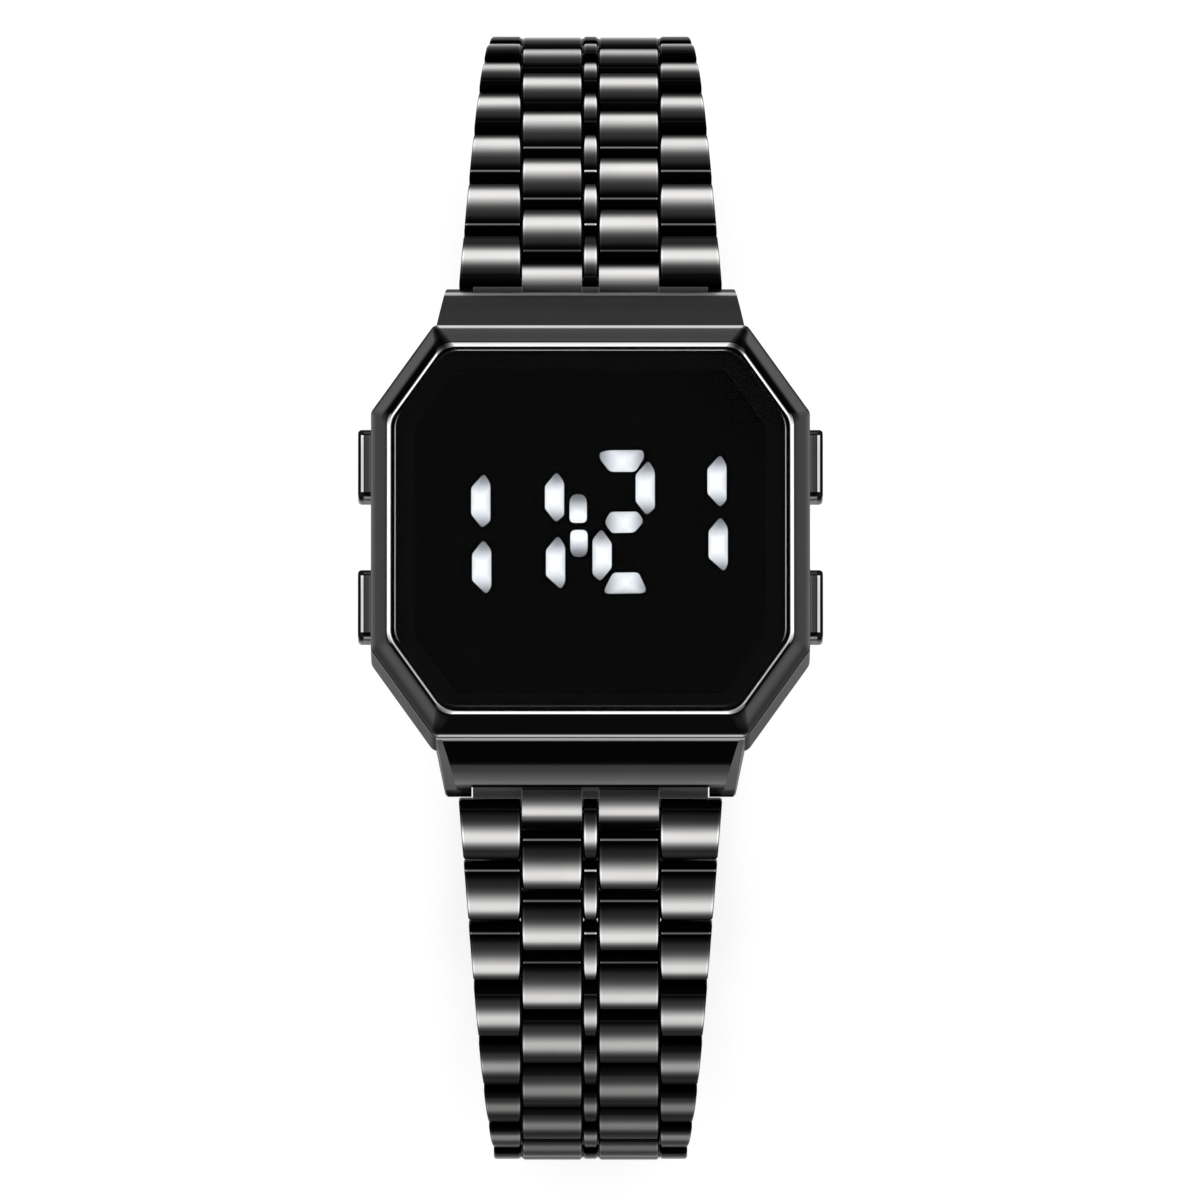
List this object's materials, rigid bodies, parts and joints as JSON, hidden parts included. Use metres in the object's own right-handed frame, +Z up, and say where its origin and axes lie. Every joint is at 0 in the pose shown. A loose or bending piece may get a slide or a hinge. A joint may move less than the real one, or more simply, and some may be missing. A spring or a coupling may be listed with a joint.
{
  "type": "digital wristwatch",
  "caption": "Digital wristwatch with an octagonal black steel case, dark glass, white seven-segment time, four side pushers and a tapering link bracelet with a folding clasp.",
  "frame": {"origin": "On the ground, midway between the bracelet's ends, straight under the middle of the case.", "axes": "+Z is up, out through the dial; +Y points from the case's middle to 12 o'clock; +X points to 3 o'clock."},
  "size_m": [0.0356, 0.0876, 0.0502],
  "materials": {
    "gunmetal": "polished black-ionised steel",
    "polished_rim": "mirror-polished black steel",
    "link": "polished black steel",
    "blade": "satin black steel",
    "pin": "turned steel",
    "brushed_back": "circular brushed steel",
    "screw": "bright steel",
    "spring": "drawn spring wire",
    "cell": "nickel-plated steel",
    "contact": "sprung bronze leaf",
    "board": "solder-mask laminate",
    "frame_plastic": "moulded frame",
    "gasket": "soft black elastomer",
    "mask": "black printed film",
    "lit": "lit white diffuser",
    "unlit": "unlit smoked diffuser",
    "glass": "dark mineral glass"
  },
  "bodies": {
    "case": {"case_body": "gunmetal", "bezel": "polished_rim", "crystal": "glass", "crystal_gasket": "gasket", "display_mask": "mask", "lit_segments": "lit", "unlit_segments": "unlit", "circuit_board": "board", "contact_springs": "contact", "module_frame": "frame_plastic", "battery_cell": "cell", "battery_strap": "cell", "case_back": "brushed_back", "back_gasket": "gasket", "back_screws": "screw", "pusher_springs": "spring", "spring_bar_12": "pin", "spring_bar_6": "pin"},
    "pusher_2": {"pusher_2": "gunmetal"},
    "pusher_4": {"pusher_4": "gunmetal"},
    "pusher_8": {"pusher_8": "gunmetal"},
    "pusher_10": {"pusher_10": "gunmetal"},
    "end_link_12": {"end_link_12": "link"},
    "link_12_01": {"link_12_01": "link"},
    "link_12_02": {"link_12_02": "link"},
    "link_12_03": {"link_12_03": "link"},
    "link_12_04": {"link_12_04": "link"},
    "link_12_05": {"link_12_05": "link"},
    "link_12_06": {"link_12_06": "link"},
    "link_12_07": {"link_12_07": "link"},
    "link_12_08": {"link_12_08": "link"},
    "link_12_09": {"link_12_09": "link"},
    "link_12_10": {"link_12_10": "link"},
    "link_12_11": {"link_12_11": "link"},
    "link_12_12": {"link_12_12": "link"},
    "link_12_13": {"link_12_13": "link"},
    "end_link_6": {"end_link_6": "link"},
    "link_6_01": {"link_6_01": "link"},
    "link_6_02": {"link_6_02": "link"},
    "link_6_03": {"link_6_03": "link"},
    "link_6_04": {"link_6_04": "link"},
    "link_6_05": {"link_6_05": "link"},
    "link_6_06": {"link_6_06": "link"},
    "link_6_07": {"link_6_07": "link"},
    "link_6_08": {"link_6_08": "link"},
    "link_6_09": {"link_6_09": "link"},
    "link_6_10": {"link_6_10": "link"},
    "link_6_11": {"link_6_11": "link"},
    "link_6_12": {"link_6_12": "link"},
    "link_6_13": {"link_6_13": "link", "clasp_spring_bar": "pin"},
    "inner_blade": {"clasp_inner_blade": "blade", "clasp_link_pin": "pin"},
    "middle_blade": {"clasp_middle_blade": "blade", "clasp_fold_pin": "pin"},
    "cover": {"clasp_cover": "link", "clasp_cover_pin": "pin"}
  },
  "joints": [
    {"name": "end_link_12_hinge", "type": "hinge", "parent": "case", "child": "end_link_12", "pos_m": [0, 0.01768, 0.04373], "axis": [1, 0, 0], "range_deg": [-2.5, 3]},
    {"name": "link_12_01_hinge", "type": "hinge", "parent": "end_link_12", "child": "link_12_01", "pos_m": [0, 0.02072, 0.04244], "axis": [1, 0, 0], "range_deg": [-2.5, 3]},
    {"name": "link_12_02_hinge", "type": "hinge", "parent": "link_12_01", "child": "link_12_02", "pos_m": [0, 0.02514, 0.04056], "axis": [1, 0, 0], "range_deg": [-2.5, 4]},
    {"name": "link_12_03_hinge", "type": "hinge", "parent": "link_12_02", "child": "link_12_03", "pos_m": [0, 0.02952, 0.03861], "axis": [1, 0, 0], "range_deg": [-2.5, 10]},
    {"name": "link_12_04_hinge", "type": "hinge", "parent": "link_12_03", "child": "link_12_04", "pos_m": [0, 0.03364, 0.03614], "axis": [1, 0, 0], "range_deg": [-2.5, 14]},
    {"name": "link_12_05_hinge", "type": "hinge", "parent": "link_12_04", "child": "link_12_05", "pos_m": [0, 0.0372, 0.03293], "axis": [1, 0, 0], "range_deg": [-2.5, 16]},
    {"name": "link_12_06_hinge", "type": "hinge", "parent": "link_12_05", "child": "link_12_06", "pos_m": [0, 0.03996, 0.02899], "axis": [1, 0, 0], "range_deg": [-2.5, 16]},
    {"name": "link_12_07_hinge", "type": "hinge", "parent": "link_12_06", "child": "link_12_07", "pos_m": [0, 0.04176, 0.02454], "axis": [1, 0, 0], "range_deg": [-2.5, 16]},
    {"name": "link_12_08_hinge", "type": "hinge", "parent": "link_12_07", "child": "link_12_08", "pos_m": [0, 0.04251, 0.0198], "axis": [1, 0, 0], "range_deg": [-2.5, 19.67]},
    {"name": "link_12_09_hinge", "type": "hinge", "parent": "link_12_08", "child": "link_12_09", "pos_m": [0, 0.04187, 0.01505], "axis": [1, 0, 0], "range_deg": [-2.5, 19.67]},
    {"name": "link_12_10_hinge", "type": "hinge", "parent": "link_12_09", "child": "link_12_10", "pos_m": [0, 0.03989, 0.01067], "axis": [1, 0, 0], "range_deg": [-2.5, 19.67]},
    {"name": "link_12_11_hinge", "type": "hinge", "parent": "link_12_10", "child": "link_12_11", "pos_m": [0, 0.03674, 0.00705], "axis": [1, 0, 0], "range_deg": [-2.5, 17.33]},
    {"name": "link_12_12_hinge", "type": "hinge", "parent": "link_12_11", "child": "link_12_12", "pos_m": [0, 0.03279, 0.00432], "axis": [1, 0, 0], "range_deg": [-2.5, 17.33]},
    {"name": "link_12_13_hinge", "type": "hinge", "parent": "link_12_12", "child": "link_12_13", "pos_m": [0, 0.02829, 0.00265], "axis": [1, 0, 0], "range_deg": [-2.5, 17.33]},
    {"name": "end_link_6_hinge", "type": "hinge", "parent": "case", "child": "end_link_6", "pos_m": [0, -0.01768, 0.04373], "axis": [1, 0, 0], "range_deg": [-3, 2.5]},
    {"name": "link_6_01_hinge", "type": "hinge", "parent": "end_link_6", "child": "link_6_01", "pos_m": [0, -0.02072, 0.04244], "axis": [1, 0, 0], "range_deg": [-3, 2.5]},
    {"name": "link_6_02_hinge", "type": "hinge", "parent": "link_6_01", "child": "link_6_02", "pos_m": [0, -0.02514, 0.04056], "axis": [1, 0, 0], "range_deg": [-4, 2.5]},
    {"name": "link_6_03_hinge", "type": "hinge", "parent": "link_6_02", "child": "link_6_03", "pos_m": [0, -0.02952, 0.03861], "axis": [1, 0, 0], "range_deg": [-10, 2.5]},
    {"name": "link_6_04_hinge", "type": "hinge", "parent": "link_6_03", "child": "link_6_04", "pos_m": [0, -0.03364, 0.03614], "axis": [1, 0, 0], "range_deg": [-14, 2.5]},
    {"name": "link_6_05_hinge", "type": "hinge", "parent": "link_6_04", "child": "link_6_05", "pos_m": [0, -0.0372, 0.03293], "axis": [1, 0, 0], "range_deg": [-16, 2.5]},
    {"name": "link_6_06_hinge", "type": "hinge", "parent": "link_6_05", "child": "link_6_06", "pos_m": [0, -0.03996, 0.02899], "axis": [1, 0, 0], "range_deg": [-16, 2.5]},
    {"name": "link_6_07_hinge", "type": "hinge", "parent": "link_6_06", "child": "link_6_07", "pos_m": [0, -0.04176, 0.02454], "axis": [1, 0, 0], "range_deg": [-16, 2.5]},
    {"name": "link_6_08_hinge", "type": "hinge", "parent": "link_6_07", "child": "link_6_08", "pos_m": [0, -0.04251, 0.0198], "axis": [1, 0, 0], "range_deg": [-19.67, 2.5]},
    {"name": "link_6_09_hinge", "type": "hinge", "parent": "link_6_08", "child": "link_6_09", "pos_m": [0, -0.04187, 0.01505], "axis": [1, 0, 0], "range_deg": [-19.67, 2.5]},
    {"name": "link_6_10_hinge", "type": "hinge", "parent": "link_6_09", "child": "link_6_10", "pos_m": [0, -0.03989, 0.01067], "axis": [1, 0, 0], "range_deg": [-19.67, 2.5]},
    {"name": "link_6_11_hinge", "type": "hinge", "parent": "link_6_10", "child": "link_6_11", "pos_m": [0, -0.03674, 0.00705], "axis": [1, 0, 0], "range_deg": [-17.33, 2.5]},
    {"name": "link_6_12_hinge", "type": "hinge", "parent": "link_6_11", "child": "link_6_12", "pos_m": [0, -0.03279, 0.00432], "axis": [1, 0, 0], "range_deg": [-17.33, 2.5]},
    {"name": "link_6_13_hinge", "type": "hinge", "parent": "link_6_12", "child": "link_6_13", "pos_m": [0, -0.02829, 0.00265], "axis": [1, 0, 0], "range_deg": [-17.33, 2.5]},
    {"name": "clasp_link_hinge", "type": "hinge", "parent": "link_12_13", "child": "inner_blade", "pos_m": [0, 0.02352, 0.00215], "axis": [1, 0, 0], "range_deg": [-2.5, 9]},
    {"name": "clasp_fold_hinge", "type": "hinge", "parent": "inner_blade", "child": "middle_blade", "pos_m": [0, -0.01899, 0.002], "axis": [1, 0, 0], "range_deg": [-125, 0]},
    {"name": "clasp_cover_hinge", "type": "hinge", "parent": "middle_blade", "child": "cover", "pos_m": [0, 0.02032, 0.0012], "axis": [1, 0, 0], "range_deg": [0, 150]},
    {"name": "pusher_2_slide", "type": "slide", "parent": "case", "child": "pusher_2", "axis": [-1, 0, 0], "range_m": [0, 0.0006], "stiffness_N_per_m": 2000, "springref_m": -0.0004, "deforming": ["pusher_springs"]},
    {"name": "pusher_4_slide", "type": "slide", "parent": "case", "child": "pusher_4", "axis": [-1, 0, 0], "range_m": [0, 0.0006], "stiffness_N_per_m": 2000, "springref_m": -0.0004, "deforming": ["pusher_springs"]},
    {"name": "pusher_8_slide", "type": "slide", "parent": "case", "child": "pusher_8", "axis": [1, 0, 0], "range_m": [0, 0.0006], "stiffness_N_per_m": 2000, "springref_m": -0.0004, "deforming": ["pusher_springs"]},
    {"name": "pusher_10_slide", "type": "slide", "parent": "case", "child": "pusher_10", "axis": [1, 0, 0], "range_m": [0, 0.0006], "stiffness_N_per_m": 2000, "springref_m": -0.0004, "deforming": ["pusher_springs"]}
  ]
}
